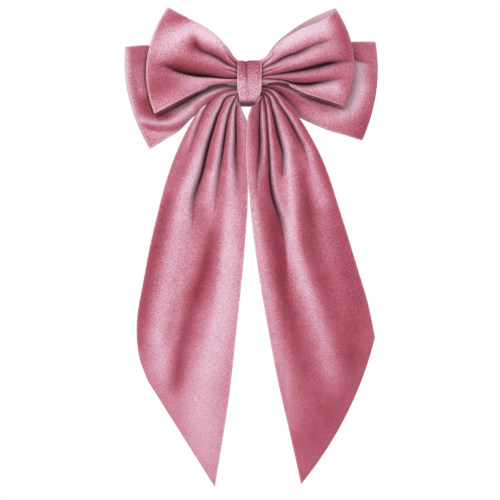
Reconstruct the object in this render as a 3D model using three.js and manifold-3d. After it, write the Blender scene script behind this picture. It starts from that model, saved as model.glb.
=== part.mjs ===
// A velvet double bow with two long tails, worn on a sprung steel hair clip.
// Millimetres. +X is to the viewer's right, +Y points to the head and +Z points up.
// The origin is on the clasp arm's flat face that lies on the head, behind the middle of the knot.
import * as THREE from 'three';
import { mergeVertices } from 'three/addons/utils/BufferGeometryUtils.js';
import Module from 'manifold-3d';

// ---------------------------------------------------------------- driving dimensions

// Steel clip.
const CLIP_GAUGE = 0.9;
const PLATE_HALF_WIDTH = 4;
const PLATE_RADIUS = 130;
const PLATE_MIDDLE_Y = -11.6;
const PLATE_ARC_HALF = 33;
const PLATE_HALF_LENGTH = 42;
const PIN_X = 37;
const PIN_Y = -1.5;
const PIN_RADIUS = 0.6;
const PIN_HOLE_RADIUS = 0.75;
const EAR_INNER_Z = 3.3;
const ARM_GAUGE = 0.8;
const ARM_HALF_WIDTH = 3;
const ARM_HEAD_HALF_WIDTH = 4.5;
const ARM_STEP = 1.2;
const ARM_END_X = -41;
const WINDOW = { x0: -39.9, x1: -34.5, halfWidth: 2.9 };
const BAR_GAUGE = 0.4;
const BAR_HALF_WIDTH = 2.5;
const BAR_MIDDLE_Y = -8;
const BAR_HALF_LENGTH = 34;
const BAR_SAG = 4.8;
const LATCH_X = -37;
const CATCH_PLATE_TOP = -6;
const PRONG_GAUGE = 0.5;
const PRONG_INNER_Z = 1.7;
const NIB_TIP_Z = 2.75;
const SEWING_HOLE_X = 28;
const SEWING_HOLE_Z = 2.45;
const SEWING_HOLE_RADIUS = 0.8;

// Cloth and thread.
const CLEARANCE = 0.3;
const PAD_GAUGE = 1.2;
const PAD_HALF_LENGTH = 31;
const PAD_HALF_WIDTH = 5;
const THREAD = 0.8;
const BAND = { x0: -8.4, x1: 7.8, front: -44.9, back: -9.85, halfHeight: 15.4, wall: 1, corner: 3 };
const BAND_SIDE_GAP = 0.3;
const LOOP_WALL = 2;
const FRONT_BOW = { y: -40, neckHalfDepth: 2.6, loopHalfDepth: 6.8, neckLow: -3, neckHigh: 11.5 };
const REAR_BOW = { y: -19.6, neckHalfDepth: 4.1, loopHalfDepth: 5.8, neckLow: -10, neckHigh: 7 };
const LOOP_START_X = 9;
const TAIL = { front: -32.5, back: -26, top: -14.5, underKnot: -17 };
const FOLD = { front: -32, back: -27.4, low: -12.6, high: 11 };

// ---------------------------------------------------------------- solids and booleans

const wasm = await Module();
wasm.setup();

/** A three.js geometry as a solid; `mirrored` turns its faces round after a mirroring move. */
function solid(geometry, mirrored = false) {
  const bare = geometry.index ? geometry.toNonIndexed() : geometry.clone();
  bare.deleteAttribute('normal');
  bare.deleteAttribute('uv');
  const merged = mergeVertices(bare, 1e-5);
  const triVerts = new Uint32Array(merged.index.array);
  if (mirrored) {
    for (let i = 0; i < triVerts.length; i += 3) {
      const second = triVerts[i + 1];
      triVerts[i + 1] = triVerts[i + 2];
      triVerts[i + 2] = second;
    }
  }
  const vertProperties = new Float32Array(merged.attributes.position.array);
  return new wasm.Manifold(new wasm.Mesh({ numProp: 3, vertProperties, triVerts }));
}

/** A solid as a three.js geometry. */
function geometryOf(manifold) {
  const mesh = manifold.getMesh();
  const geometry = new THREE.BufferGeometry();
  geometry.setAttribute('position', new THREE.BufferAttribute(mesh.vertProperties, 3));
  geometry.setIndex(new THREE.BufferAttribute(mesh.triVerts, 1));
  return geometry;
}

const join = (...solids) => solids.reduce((whole, next) => whole.add(next));
const cut = (body, ...tools) => tools.reduce((rest, tool) => rest.subtract(tool), body);

function box(x0, x1, y0, y1, z0, z1) {
  const geometry = new THREE.BoxGeometry(x1 - x0, y1 - y0, z1 - z0);
  geometry.translate((x0 + x1) / 2, (y0 + y1) / 2, (z0 + z1) / 2);
  return solid(geometry);
}

const extrude = (shape, depth, curveSegments = 8) =>
  new THREE.ExtrudeGeometry(shape, { depth, curveSegments, bevelEnabled: false });

/** An outline in X and Y, carried along Z. */
function prismZ(shape, z0, z1, curveSegments) {
  return solid(extrude(shape, z1 - z0, curveSegments).translate(0, 0, z0));
}

/** An outline in X and Z, carried along Y. */
function prismY(shape, y0, y1, curveSegments) {
  return solid(extrude(shape, y1 - y0, curveSegments).rotateX(Math.PI / 2).translate(0, y1, 0));
}

/** An outline in Y and Z, carried along X. */
function prismX(shape, x0, x1, curveSegments) {
  const turn = new THREE.Matrix4().makeBasis(
    new THREE.Vector3(0, 1, 0), new THREE.Vector3(0, 0, 1), new THREE.Vector3(1, 0, 0));
  return solid(extrude(shape, x1 - x0, curveSegments).applyMatrix4(turn).translate(x0, 0, 0));
}

function rodZ(x, y, radius, z0, z1, sides = 24) {
  const geometry = new THREE.CylinderGeometry(radius, radius, z1 - z0, sides);
  return solid(geometry.rotateX(Math.PI / 2).translate(x, y, (z0 + z1) / 2));
}

function rodY(x, z, radius, y0, y1, sides = 20) {
  const geometry = new THREE.CylinderGeometry(radius, radius, y1 - y0, sides);
  return solid(geometry.translate(x, (y0 + y1) / 2, z));
}

const polygon = (points) => new THREE.Shape(points.map(([a, b]) => new THREE.Vector2(a, b)));

/** A rectangle with round corners. */
function roundedRectangle(a0, a1, b0, b1, radius, shape = new THREE.Shape()) {
  shape.moveTo(a0 + radius, b0);
  shape.lineTo(a1 - radius, b0);
  shape.absarc(a1 - radius, b0 + radius, radius, -Math.PI / 2, 0);
  shape.lineTo(a1, b1 - radius);
  shape.absarc(a1 - radius, b1 - radius, radius, 0, Math.PI / 2);
  shape.lineTo(a0 + radius, b1);
  shape.absarc(a0 + radius, b1 - radius, radius, Math.PI / 2, Math.PI);
  shape.lineTo(a0, b0 + radius);
  shape.absarc(a0 + radius, b0 + radius, radius, Math.PI, Math.PI * 1.5);
  return shape;
}

/** A closed band with an even wall, seen along X: outer limits in Y and Z. */
function ringX(x0, x1, y0, y1, z0, z1, wall, corner, curveSegments = 5) {
  const shape = roundedRectangle(y0, y1, z0, z1, corner);
  const inner = corner - wall;
  shape.holes.push(roundedRectangle(
    y0 + wall, y1 - wall, z0 + wall, z1 - wall, Math.max(inner, 0.3), new THREE.Path()));
  return prismX(shape, x0, x1, curveSegments);
}

// ---------------------------------------------------------------- steel clip

/** Y of a bowed strip's middle surface at x: a circle whose lowest point is at middleY. */
const bowedY = (radius, middleY, x) => middleY + radius - Math.sqrt(radius * radius - x * x);

/** A bowed strip of even gauge from x0 to x1, with straight ends if flatHalf is given. */
function bowedStrip(radius, middleY, gauge, x0, x1, flatHalf = Infinity, steps = 18) {
  const height = (x) => bowedY(radius, middleY, Math.min(Math.abs(x), flatHalf));
  const stations = [];
  for (let i = 0; i <= steps; i += 1) {
    stations.push(x0 + (x1 - x0) * i / steps);
  }
  if (flatHalf < Infinity) {
    stations.push(-flatHalf, flatHalf);
    stations.sort((a, b) => a - b);
  }
  const far = stations.map((x) => [x, height(x) - gauge / 2]);
  const near = stations.map((x) => [x, height(x) + gauge / 2]).reverse();
  return polygon([...far, ...near]);
}

const PLATE_END_Y = bowedY(PLATE_RADIUS, PLATE_MIDDLE_Y, PLATE_ARC_HALF);
const PLATE_END_TOP = PLATE_END_Y + CLIP_GAUGE / 2;

/** The two sewing holes at x, cut as rods across the strip. */
const sewingHoles = (x) => [-1, 1].map((side) =>
  rodY(x, side * SEWING_HOLE_Z, SEWING_HOLE_RADIUS, -20, 0, 16));

function basePlate() {
  const strip = prismZ(
    bowedStrip(PLATE_RADIUS, PLATE_MIDDLE_Y, CLIP_GAUGE, -PLATE_HALF_LENGTH, PLATE_HALF_LENGTH, PLATE_ARC_HALF),
    -PLATE_HALF_WIDTH, PLATE_HALF_WIDTH);
  const earRadius = 1.4;
  const ear = new THREE.Shape();
  ear.moveTo(PIN_X - 2.4, PLATE_END_Y);
  ear.lineTo(PIN_X + 2.4, PLATE_END_Y);
  ear.lineTo(PIN_X + earRadius, PIN_Y);
  ear.absarc(PIN_X, PIN_Y, earRadius, 0, Math.PI);
  ear.closePath();
  const ears = [
    prismZ(ear, EAR_INNER_Z, PLATE_HALF_WIDTH, 8),
    prismZ(ear, -PLATE_HALF_WIDTH, -EAR_INNER_Z, 8),
  ];
  const rivetHole = rodY(LATCH_X, 0, 1.05, PLATE_END_Y - 2, PLATE_END_Y + 2);
  return cut(
    join(strip, ...ears),
    rodZ(PIN_X, PIN_Y, PIN_HOLE_RADIUS, -PLATE_HALF_WIDTH - 1, PLATE_HALF_WIDTH + 1),
    rivetHole, ...sewingHoles(-SEWING_HOLE_X), ...sewingHoles(SEWING_HOLE_X));
}

/** The hinge pin, headed over outside both ears. */
function hingePin() {
  const headZ = PLATE_HALF_WIDTH + 0.15;
  const headHeight = 0.5;
  return join(
    rodZ(PIN_X, PIN_Y, PIN_RADIUS, -headZ - headHeight, headZ + headHeight),
    rodZ(PIN_X, PIN_Y, 1, headZ, headZ + headHeight),
    rodZ(PIN_X, PIN_Y, 1, -headZ - headHeight, -headZ));
}

/** The arm that closes on the head side, with two knuckles on the pin and a window for the latch. */
function claspArm() {
  const stepStart = -30;
  const stepEnd = -33;
  const low = -ARM_STEP - ARM_GAUGE;
  const strip = polygon([
    [PIN_X, -ARM_GAUGE], [PIN_X, 0], [stepStart, 0], [stepEnd, -ARM_STEP],
    [ARM_END_X, -ARM_STEP], [ARM_END_X, low], [stepEnd, low], [stepStart, -ARM_GAUGE],
  ]);
  const knuckleRadius = -PIN_Y;
  const relief = box(PIN_X - 2.6, PIN_X + 3, -4, 0.5, -1.4, 1.4);
  return cut(
    join(
      prismZ(strip, -ARM_HALF_WIDTH, ARM_HALF_WIDTH),
      box(ARM_END_X, stepEnd - 0.6, low, -ARM_STEP, -ARM_HEAD_HALF_WIDTH, ARM_HEAD_HALF_WIDTH),
      rodZ(PIN_X, PIN_Y, knuckleRadius, -ARM_HALF_WIDTH, ARM_HALF_WIDTH)),
    rodZ(PIN_X, PIN_Y, PIN_HOLE_RADIUS, -ARM_HALF_WIDTH - 1, ARM_HALF_WIDTH + 1),
    box(WINDOW.x0, WINDOW.x1, low - 1, 1, -WINDOW.halfWidth, WINDOW.halfWidth),
    relief);
}

/** The thin sprung bar that presses the hair against the arm; its tongue curls round the pin. */
function tensionBar() {
  const radius = (BAR_HALF_LENGTH ** 2 + BAR_SAG ** 2) / (2 * BAR_SAG);
  const endY = BAR_MIDDLE_Y + BAR_SAG;
  const strip = prismZ(
    bowedStrip(radius, BAR_MIDDLE_Y, BAR_GAUGE, -BAR_HALF_LENGTH + 1, BAR_HALF_LENGTH - 2),
    -BAR_HALF_WIDTH, BAR_HALF_WIDTH);
  const tongueX = BAR_HALF_LENGTH - 3;
  const tongueY = bowedY(radius, BAR_MIDDLE_Y, tongueX);
  const tongue = polygon([
    [tongueX, tongueY - BAR_GAUGE / 2], [PIN_X - 0.6, PIN_Y - 1.05], [PIN_X - 0.2, PIN_Y - 0.85],
    [PIN_X - 0.7, PIN_Y - 0.55], [tongueX, tongueY + BAR_GAUGE / 2],
  ]);
  const tongueHalfWidth = 1.1;
  const curl = rodZ(PIN_X, PIN_Y, 1.15, -tongueHalfWidth, tongueHalfWidth);
  const foot = box(
    -BAR_HALF_LENGTH + 0.4, -BAR_HALF_LENGTH + 1.4, endY - 1.1, endY - 0.05, -BAR_HALF_WIDTH, BAR_HALF_WIDTH);
  return cut(
    join(strip, prismZ(tongue, -tongueHalfWidth, tongueHalfWidth), curl, foot),
    rodZ(PIN_X, PIN_Y, PIN_HOLE_RADIUS, -3, 3));
}

function catchPlate() {
  const plate = box(
    LATCH_X - 4.4, LATCH_X + 3.4, PLATE_END_TOP + CLEARANCE, CATCH_PLATE_TOP, -3.2, 3.2);
  return cut(plate, rodY(LATCH_X, 0, 1.05, -9, -4));
}

/** The rivet that holds the catch on the base plate. */
function catchRivet() {
  const headHeight = 0.4;
  const front = PLATE_END_Y - CLIP_GAUGE / 2 - 0.1;
  const rear = CATCH_PLATE_TOP + 0.1;
  return join(
    rodY(LATCH_X, 0, 0.8, front - headHeight, rear + headHeight),
    rodY(LATCH_X, 0, 1.45, front - headHeight, front),
    rodY(LATCH_X, 0, 1.45, rear, rear + headHeight));
}

/** One squeezed prong of the latch: a blade through the arm's window, a nib and a finger tab. */
function latchProng(side) {
  const root = CATCH_PLATE_TOP + CLEARANCE;
  const tipY = -0.3;
  const nibY = -0.9;
  const blade = polygon([
    [-35, root], [-35, tipY], [-39.4, tipY], [-39.4, -2.6], [-41.5, -2.6], [-41.5, -0.5],
    [-44, -0.5], [-44, -4.4], [-40, root],
  ]);
  const outer = PRONG_INNER_Z + PRONG_GAUGE;
  const span = (a, b) => (side > 0 ? [a, b] : [-b, -a]);
  return join(
    prismZ(blade, ...span(PRONG_INNER_Z, outer)),
    box(-39, -35.4, nibY, tipY, ...span(PRONG_INNER_Z, NIB_TIP_Z)),
    box(-44, -43.5, -4, -0.5, ...span(PRONG_INNER_Z, 4.8)));
}

// ---------------------------------------------------------------- cloth and thread

function backingPad() {
  const radius = PLATE_RADIUS + CLIP_GAUGE / 2 + CLEARANCE + PAD_GAUGE / 2;
  const middleY = PLATE_MIDDLE_Y + PLATE_RADIUS - radius;
  const strip = prismZ(
    bowedStrip(radius, middleY, PAD_GAUGE, -PAD_HALF_LENGTH, PAD_HALF_LENGTH),
    -PAD_HALF_WIDTH, PAD_HALF_WIDTH);
  return cut(strip, ...sewingHoles(-SEWING_HOLE_X), ...sewingHoles(SEWING_HOLE_X));
}

/** A thread tied through both sewing holes, round the plate and the pad. */
function stitch(x) {
  const thread = 0.7;
  const near = bowedY(PLATE_RADIUS, PLATE_MIDDLE_Y, SEWING_HOLE_X) + CLIP_GAUGE / 2 + CLEARANCE + thread;
  const far = near - 2 * thread - CLIP_GAUGE - PAD_GAUGE - 4 * CLEARANCE;
  const reach = SEWING_HOLE_Z + thread / 2;
  return ringX(x - thread / 2, x + thread / 2, far, near, -reach, reach, thread, 0.9, 3);
}

/** A quadratic curve in X and Z, given by its ends and the point that pulls it. */
const edge = (start, pull, end) => new THREE.QuadraticBezierCurve(
  new THREE.Vector2(...start), new THREE.Vector2(...pull), new THREE.Vector2(...end));

/** A loop's section from the neck at 0 to the fold at 1: a drop with an even wall. */
function loopSection(neckHalf, loopHalf, length) {
  const drop = (path, start, neck, full, end) => {
    path.moveTo(start, -neck);
    path.bezierCurveTo(0.4, -neck, 0.45, -full, 0.78, -full);
    path.bezierCurveTo(0.92, -full, end, -full * 0.6, end, 0);
    path.bezierCurveTo(end, full * 0.6, 0.92, full, 0.78, full);
    path.bezierCurveTo(0.45, full, 0.4, neck, start, neck);
    path.closePath();
    return path;
  };
  const section = drop(new THREE.Shape(), 0, neckHalf, loopHalf, 1);
  const hollow = drop(
    new THREE.Path(), 0.14, neckHalf - LOOP_WALL, loopHalf - LOOP_WALL, 1 - LOOP_WALL / length);
  section.holes.push(hollow);
  return section;
}

/** One hollow loop between its lower and upper edges, open above and below like a sleeve. */
function loop(bow, side, lower, upper, bulge) {
  const length = lower.v2.x - LOOP_START_X + bulge;
  const section = loopSection(bow.neckHalfDepth, bow.loopHalfDepth, length);
  const geometry = new THREE.ExtrudeGeometry(
    section, { depth: 1, steps: 6, curveSegments: 6, bevelEnabled: false });
  const position = geometry.attributes.position;
  for (let i = 0; i < position.count; i += 1) {
    const along = position.getX(i);
    const across = position.getZ(i);
    const low = lower.getPoint(along);
    const high = upper.getPoint(along);
    const swell = bulge * along * along * 4 * across * (1 - across);
    const x = low.x + (high.x - low.x) * across + swell;
    position.setXYZ(i, side * x, bow.y + position.getY(i), low.y + (high.y - low.y) * across);
  }
  return solid(geometry, side < 0);
}

/** A bow: two loops of one strip, held together at the gathered neck. */
function bow(shape, left, right) {
  const neck = box(
    -LOOP_START_X - 1.5, LOOP_START_X + 1.5, shape.y - shape.neckHalfDepth, shape.y + shape.neckHalfDepth,
    shape.neckLow, shape.neckHigh);
  return join(loop(shape, -1, ...left), loop(shape, 1, ...right), neck);
}

const frontBow = () => bow(
  FRONT_BOW,
  [edge([LOOP_START_X, -1], [38, -3], [67.5, -22]), edge([LOOP_START_X, 11.5], [28, 40], [58.5, 52.6]), 10.2],
  [edge([LOOP_START_X, 0], [38, -7], [65.8, -16.3]), edge([LOOP_START_X, 11.5], [30, 45], [60.2, 52]), 11.3]);

const rearBow = () => bow(
  REAR_BOW,
  [edge([LOOP_START_X, -9], [40, -20], [71.2, -45.7]), edge([LOOP_START_X, 6], [50, 30], [88.6, 25.8]), 6.1],
  [edge([LOOP_START_X, -9], [35, -24], [79.9, -39.8]), edge([LOOP_START_X, 6], [50, 34], [89.1, 29.7]), 5.1]);

/** Winding of thread round a gathered neck. */
function gatherThread(front, back, low, high) {
  const reach = CLEARANCE + THREAD;
  return ringX(-THREAD, THREAD, front - reach, back + reach, low - reach, high + reach, THREAD, 1.1, 4);
}

const neckThread = (shape) => gatherThread(
  shape.y - shape.neckHalfDepth, shape.y + shape.neckHalfDepth, shape.neckLow, shape.neckHigh);

function knotBand() {
  return ringX(
    BAND.x0, BAND.x1, BAND.front, BAND.back, -BAND.halfHeight, BAND.halfHeight, BAND.wall, BAND.corner, 8);
}

/** The held middle of the tail strip: its core in the knot and a shoulder on each side of it. */
function tailFold() {
  const shoulderLow = TAIL.top + CLEARANCE;
  const leftX = BAND.x0 - BAND_SIDE_GAP;
  const rightX = BAND.x1 + BAND_SIDE_GAP;
  const core = box(leftX - 1, rightX + 1, FOLD.front, FOLD.back, FOLD.low, FOLD.high);
  const left = polygon([[leftX, -4.5], [leftX, shoulderLow], [-29.5, shoulderLow], [-20, -7.5]]);
  const right = polygon([[rightX, -4.5], [19, -8.5], [26.5, shoulderLow], [rightX, shoulderLow]]);
  return join(core, prismY(left, TAIL.front, TAIL.back), prismY(right, TAIL.front, TAIL.back));
}

const spline = (shape, points) => shape.splineThru(points.map(([x, z]) => new THREE.Vector2(x, z)));

/** The left tail, from under the knot down to its slanted end. */
function tailLeft() {
  const knotEdge = BAND.x0 - BAND_SIDE_GAP;
  const shape = new THREE.Shape();
  shape.moveTo(knotEdge, TAIL.top);
  shape.lineTo(-30, TAIL.top);
  spline(shape, [[-41.5, -27.4], [-56, -60], [-70.4, -114.2], [-80.1, -175.6], [-72.2, -210]]);
  shape.lineTo(-25.2, -285.9);
  spline(shape, [[-15.3, -223.5], [-7.2, -153.8], [-3.3, -95], [-2.8, -45], [-4, -22]]);
  shape.lineTo(knotEdge, TAIL.underKnot);
  return prismY(shape, TAIL.front, TAIL.back, 5);
}

/** The right tail, a little shorter, cut to slant the other way. */
function tailRight() {
  const knotEdge = BAND.x1 + BAND_SIDE_GAP;
  const shape = new THREE.Shape();
  shape.moveTo(knotEdge, TAIL.top);
  shape.lineTo(knotEdge, TAIL.underKnot);
  spline(shape, [[0, -22], [-1.6, -45], [-0.9, -80], [2.8, -111.5], [16.4, -190.1], [36.3, -283.2]]);
  spline(shape, [[63.4, -243.4], [82.4, -200.9], [88.3, -180.1]]);
  spline(shape, [[84.2, -157.5], [70.7, -109.7], [51.7, -53.6], [35.4, -24.7], [27, TAIL.top]]);
  return prismY(shape, TAIL.front, TAIL.back, 5);
}

// ---------------------------------------------------------------- materials and assembly

const finish = (color, roughness, metalness) => ({ color, roughness, metalness });
const VELVET_LIGHT = finish(0xd19aac, 0.95, 0);
const VELVET_DEEP = finish(0xb8637a, 0.95, 0);
const FELT = finish(0xc9a0ab, 1, 0);
const SEWING_THREAD = finish(0xb06a7c, 0.8, 0);
const STEEL = finish(0xb9bcc0, 0.32, 1);
const SPRING_STEEL = finish(0xa9adb2, 0.28, 1);

const group = new THREE.Group();

function add(name, shape, material) {
  const mesh = new THREE.Mesh(geometryOf(shape), new THREE.MeshStandardMaterial(material));
  mesh.name = name;
  group.add(mesh);
}

add('base_plate', basePlate(), STEEL);
add('hinge_pin', hingePin(), STEEL);
add('clasp_arm', claspArm(), STEEL);
add('tension_bar', tensionBar(), SPRING_STEEL);
add('catch_plate', catchPlate(), SPRING_STEEL);
add('catch_rivet', catchRivet(), STEEL);
add('latch_prong_upper', latchProng(1), SPRING_STEEL);
add('latch_prong_lower', latchProng(-1), SPRING_STEEL);
add('backing_pad', backingPad(), FELT);
add('stitch_left', stitch(-SEWING_HOLE_X), SEWING_THREAD);
add('stitch_right', stitch(SEWING_HOLE_X), SEWING_THREAD);
add('front_bow', frontBow(), VELVET_LIGHT);
add('rear_bow', rearBow(), VELVET_DEEP);
add('front_gather_thread', neckThread(FRONT_BOW), SEWING_THREAD);
add('rear_gather_thread', neckThread(REAR_BOW), SEWING_THREAD);
add('tail_fold', tailFold(), VELVET_DEEP);
add('tail_gather_thread', gatherThread(FOLD.front, FOLD.back, FOLD.low, FOLD.high), SEWING_THREAD);
add('tail_left', tailLeft(), VELVET_LIGHT);
add('tail_right', tailRight(), VELVET_DEEP);
add('knot_band', knotBand(), VELVET_LIGHT);

export default group;
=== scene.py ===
# %% [markdown]
# # A velvet double bow on a sprung hair clip
# The steel clip, its pin and its latch come from the CAD frame with their real sizes and joints.
# Everything soft is made here: two bows, two long tails, the knot, the threads and the felt pad.
# Lengths are written in millimetres, as a maker would, and turned into metres at the last moment.

# %% Load the frame
import math

import bmesh
import bpy
import numpy as np
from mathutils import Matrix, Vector


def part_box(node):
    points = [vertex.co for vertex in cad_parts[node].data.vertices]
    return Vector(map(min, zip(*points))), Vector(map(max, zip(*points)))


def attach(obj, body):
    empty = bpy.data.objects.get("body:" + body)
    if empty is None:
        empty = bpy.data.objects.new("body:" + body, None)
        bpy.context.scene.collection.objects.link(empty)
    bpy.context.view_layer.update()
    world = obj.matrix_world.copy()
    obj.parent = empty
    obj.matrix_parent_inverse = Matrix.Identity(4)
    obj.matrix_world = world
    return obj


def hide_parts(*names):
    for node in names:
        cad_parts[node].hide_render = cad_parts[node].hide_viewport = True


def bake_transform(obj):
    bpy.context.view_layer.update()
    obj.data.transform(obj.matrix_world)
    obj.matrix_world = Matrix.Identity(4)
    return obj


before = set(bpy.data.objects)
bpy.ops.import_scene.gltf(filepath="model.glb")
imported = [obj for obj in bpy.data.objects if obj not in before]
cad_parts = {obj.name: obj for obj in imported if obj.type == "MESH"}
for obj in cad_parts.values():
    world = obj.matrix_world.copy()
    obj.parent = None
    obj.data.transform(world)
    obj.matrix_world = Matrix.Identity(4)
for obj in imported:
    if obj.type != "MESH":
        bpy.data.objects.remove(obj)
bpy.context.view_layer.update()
MM = 0.001


def node_box(name):
    """The lowest and highest corner of a CAD node, in millimetres."""
    low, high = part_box(name)
    return np.array(low) / MM, np.array(high) / MM


# %% [markdown]
# ## A line through a few points
# A pattern cutter draws a curve through a few marks. This helper does the same: it takes the marks
# and gives back places along a smooth curve through them. Any further numbers in a mark, such as a
# fold's depth, are carried along the curve in the same way.

# %% Curve helper
def through(marks, t):
    """Places along a smooth curve through the marks, for t from 0 at the first to 1 at the last."""
    marks = np.array(marks, float)
    steps = np.linalg.norm(np.diff(marks[:, :2], axis=0), axis=1)
    at = np.concatenate([[0.0], np.cumsum(steps)]) / steps.sum()
    slope = np.gradient(marks, at, axis=0)
    t = np.clip(np.asarray(t, float), 0, 1)
    k = np.clip(np.searchsorted(at, t, side="right") - 1, 0, len(at) - 2)
    span = (at[k + 1] - at[k])[..., None]
    q = (t - at[k])[..., None] / span
    return (
        (1 + 2 * q) * (1 - q) ** 2 * marks[k]
        + q * (1 - q) ** 2 * span * slope[k]
        + q * q * (3 - 2 * q) * marks[k + 1]
        - q * q * (1 - q) * span * slope[k + 1]
    )


def smooth(x):
    """0 below 0, 1 above 1, and an easy S between them."""
    x = np.clip(x, 0, 1)
    return x * x * (3 - 2 * x)


# %% [markdown]
# ## Folds
# Gathered velvet falls into pleats: round ridges with narrow valleys between them that run out of
# the knot and fade. Each fold is drawn as a line on the front of the bow, and each mark on it is
# (x, z, depth, width). A positive depth presses a valley, and a negative one raises a ridge. `lean`
# slides the floor of a valley sideways, so that one side hangs over it, and `pinch` draws the cloth
# in towards the line, which keeps a valley narrow.
# A valley also gets painted shade along it, and one of its lips can get a painted highlight.

# %% Fold helper
def nearest(place, marks, pieces=32):
    """For each place: distance to the line, signed offset, its unit normal, and the marks' values there."""
    line = through(marks, np.linspace(0, 1, pieces + 1))
    start, run = line[:-1, :2], np.diff(line[:, :2], axis=0)
    away = place[:, None, :] - start
    q = np.clip((away * run).sum(2) / (run ** 2).sum(1), 0, 1)
    gap = away - q[..., None] * run
    distance = np.hypot(gap[..., 0], gap[..., 1])
    k = distance.argmin(1)
    rows = np.arange(len(place))
    unit = run[k] / np.linalg.norm(run[k], axis=1)[:, None]
    normal = np.stack([-unit[:, 1], unit[:, 0]], 1)
    offset = (gap[rows, k] * normal).sum(1)
    values = line[k, 2:] + (line[k + 1, 2:] - line[k, 2:]) * q[rows, k][:, None]
    return distance[rows, k], offset, normal, values


SHARPNESS = 0.16
FOLD_STEEPNESS = 1.5
# Painted shade: a valley's shade is its depth over DARK_DEPTH mm, spread over DARK_WIDTH of its width.
# Painted highlight: a band on one lip, LIP_PLACE widths from the line and LIP_WIDTH widths wide, full from
# LIP_DEPTH mm deep and fainter on folds wider than NARROW_FOLD mm.
DARK_DEPTH = 8.0
DARK_WIDTH = 0.6
LIP_PLACE = 1.15
LIP_WIDTH = 0.35
LIP_DEPTH = 5
NARROW_FOLD = 1.5


def press(place, folds):
    """The depth and sideways shift in mm that folds give to places (x, z), and the painted shade and painted
    highlight that go with them.
    """
    depth = np.zeros(len(place))
    shift = np.zeros((len(place), 2))
    shade = np.zeros(len(place))
    lit = np.zeros(len(place))
    for fold in folds:
        distance, offset, normal, values = nearest(place, fold["line"])
        size, width = values[:, 0], np.maximum(values[:, 1], 0.2)
        ratio = distance / width
        if fold.get("round", False):
            shape = np.exp(-ratio ** 2)
        else:
            shape = np.exp(-FOLD_STEEPNESS * (np.sqrt(ratio ** 2 + SHARPNESS ** 2) - SHARPNESS))
        depth += size * shape
        shift += normal * (fold.get("lean", 0) * size * shape)[:, None]
        pull = fold.get("pinch", 0) * np.exp(-ratio ** 2)
        shift -= normal * (offset * pull)[:, None]
        # Painted shade along the valley.
        shade += fold.get("dark", 0) * size / DARK_DEPTH * np.exp(-(ratio / DARK_WIDTH) ** 2)
        # A painted highlight along one lip.
        side = fold.get("lit", 0)
        lip = (offset * side - LIP_PLACE * width) / (LIP_WIDTH * width)
        strength = np.minimum(size / LIP_DEPTH, 1) / np.maximum(width / NARROW_FOLD, 1)
        lit += abs(side) * strength * np.exp(-lip ** 2)
    return depth, shift, shade, lit


def valley(line, lean=0.0, pinch=0.35, dark=1.0, lit=0):
    """A pressed fold, with painted shade along it. Its last argument is 1 or -1 for the side whose lip gets
    a painted highlight.
    """
    return {"line": line, "lean": lean, "pinch": pinch, "dark": dark, "lit": lit}


def ridge(line):
    """A round fold. Its marks' depths are below zero, because it stands out."""
    return {"line": line, "round": True}


def hollow(line):
    """A round, shallow dip."""
    return {"line": line, "round": True}


def through_knot(heights, depth):
    """Valleys that carry the pleats on through the knot, at the given heights."""
    return [valley([(-9, z, depth, 0.9), (9, z, depth, 0.9)], dark=0.5) for z in heights]


def fan(side, rays, depth, reach):
    """Valleys that spread from the knot to one side, each from a height at the knot to one far out."""
    return [valley([(side * 8, start, 0.5 * depth, 0.8),
                    (side * 16, start + (end - start) * 0.16, depth, 1.2),
                    (side * 30, start + (end - start) * 0.4, 0.9 * depth, 2),
                    (side * reach, end, 0.1 * depth, 6)], dark=0.5) for start, end in rays]


# %% [markdown]
# ## A sheet of velvet
# Each strip starts as a flat grid, which is a new piece of cloth on the table. A drape function
# gives every point of the grid its place, a tone with painted light and shade in it, and painted
# shade for its folds. Sides that face one given way are painted lighter, as the light falls on them.
# Both are kept on the cloth as attributes for the velvet to read.

# %% Sheet helper
VELVET_THICKNESS = 1.3
WRONG_SIDE = 1
PAINTED_LIGHT_FACING_LIMIT = 0.18
SEAM_REACH = 0.02


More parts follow.
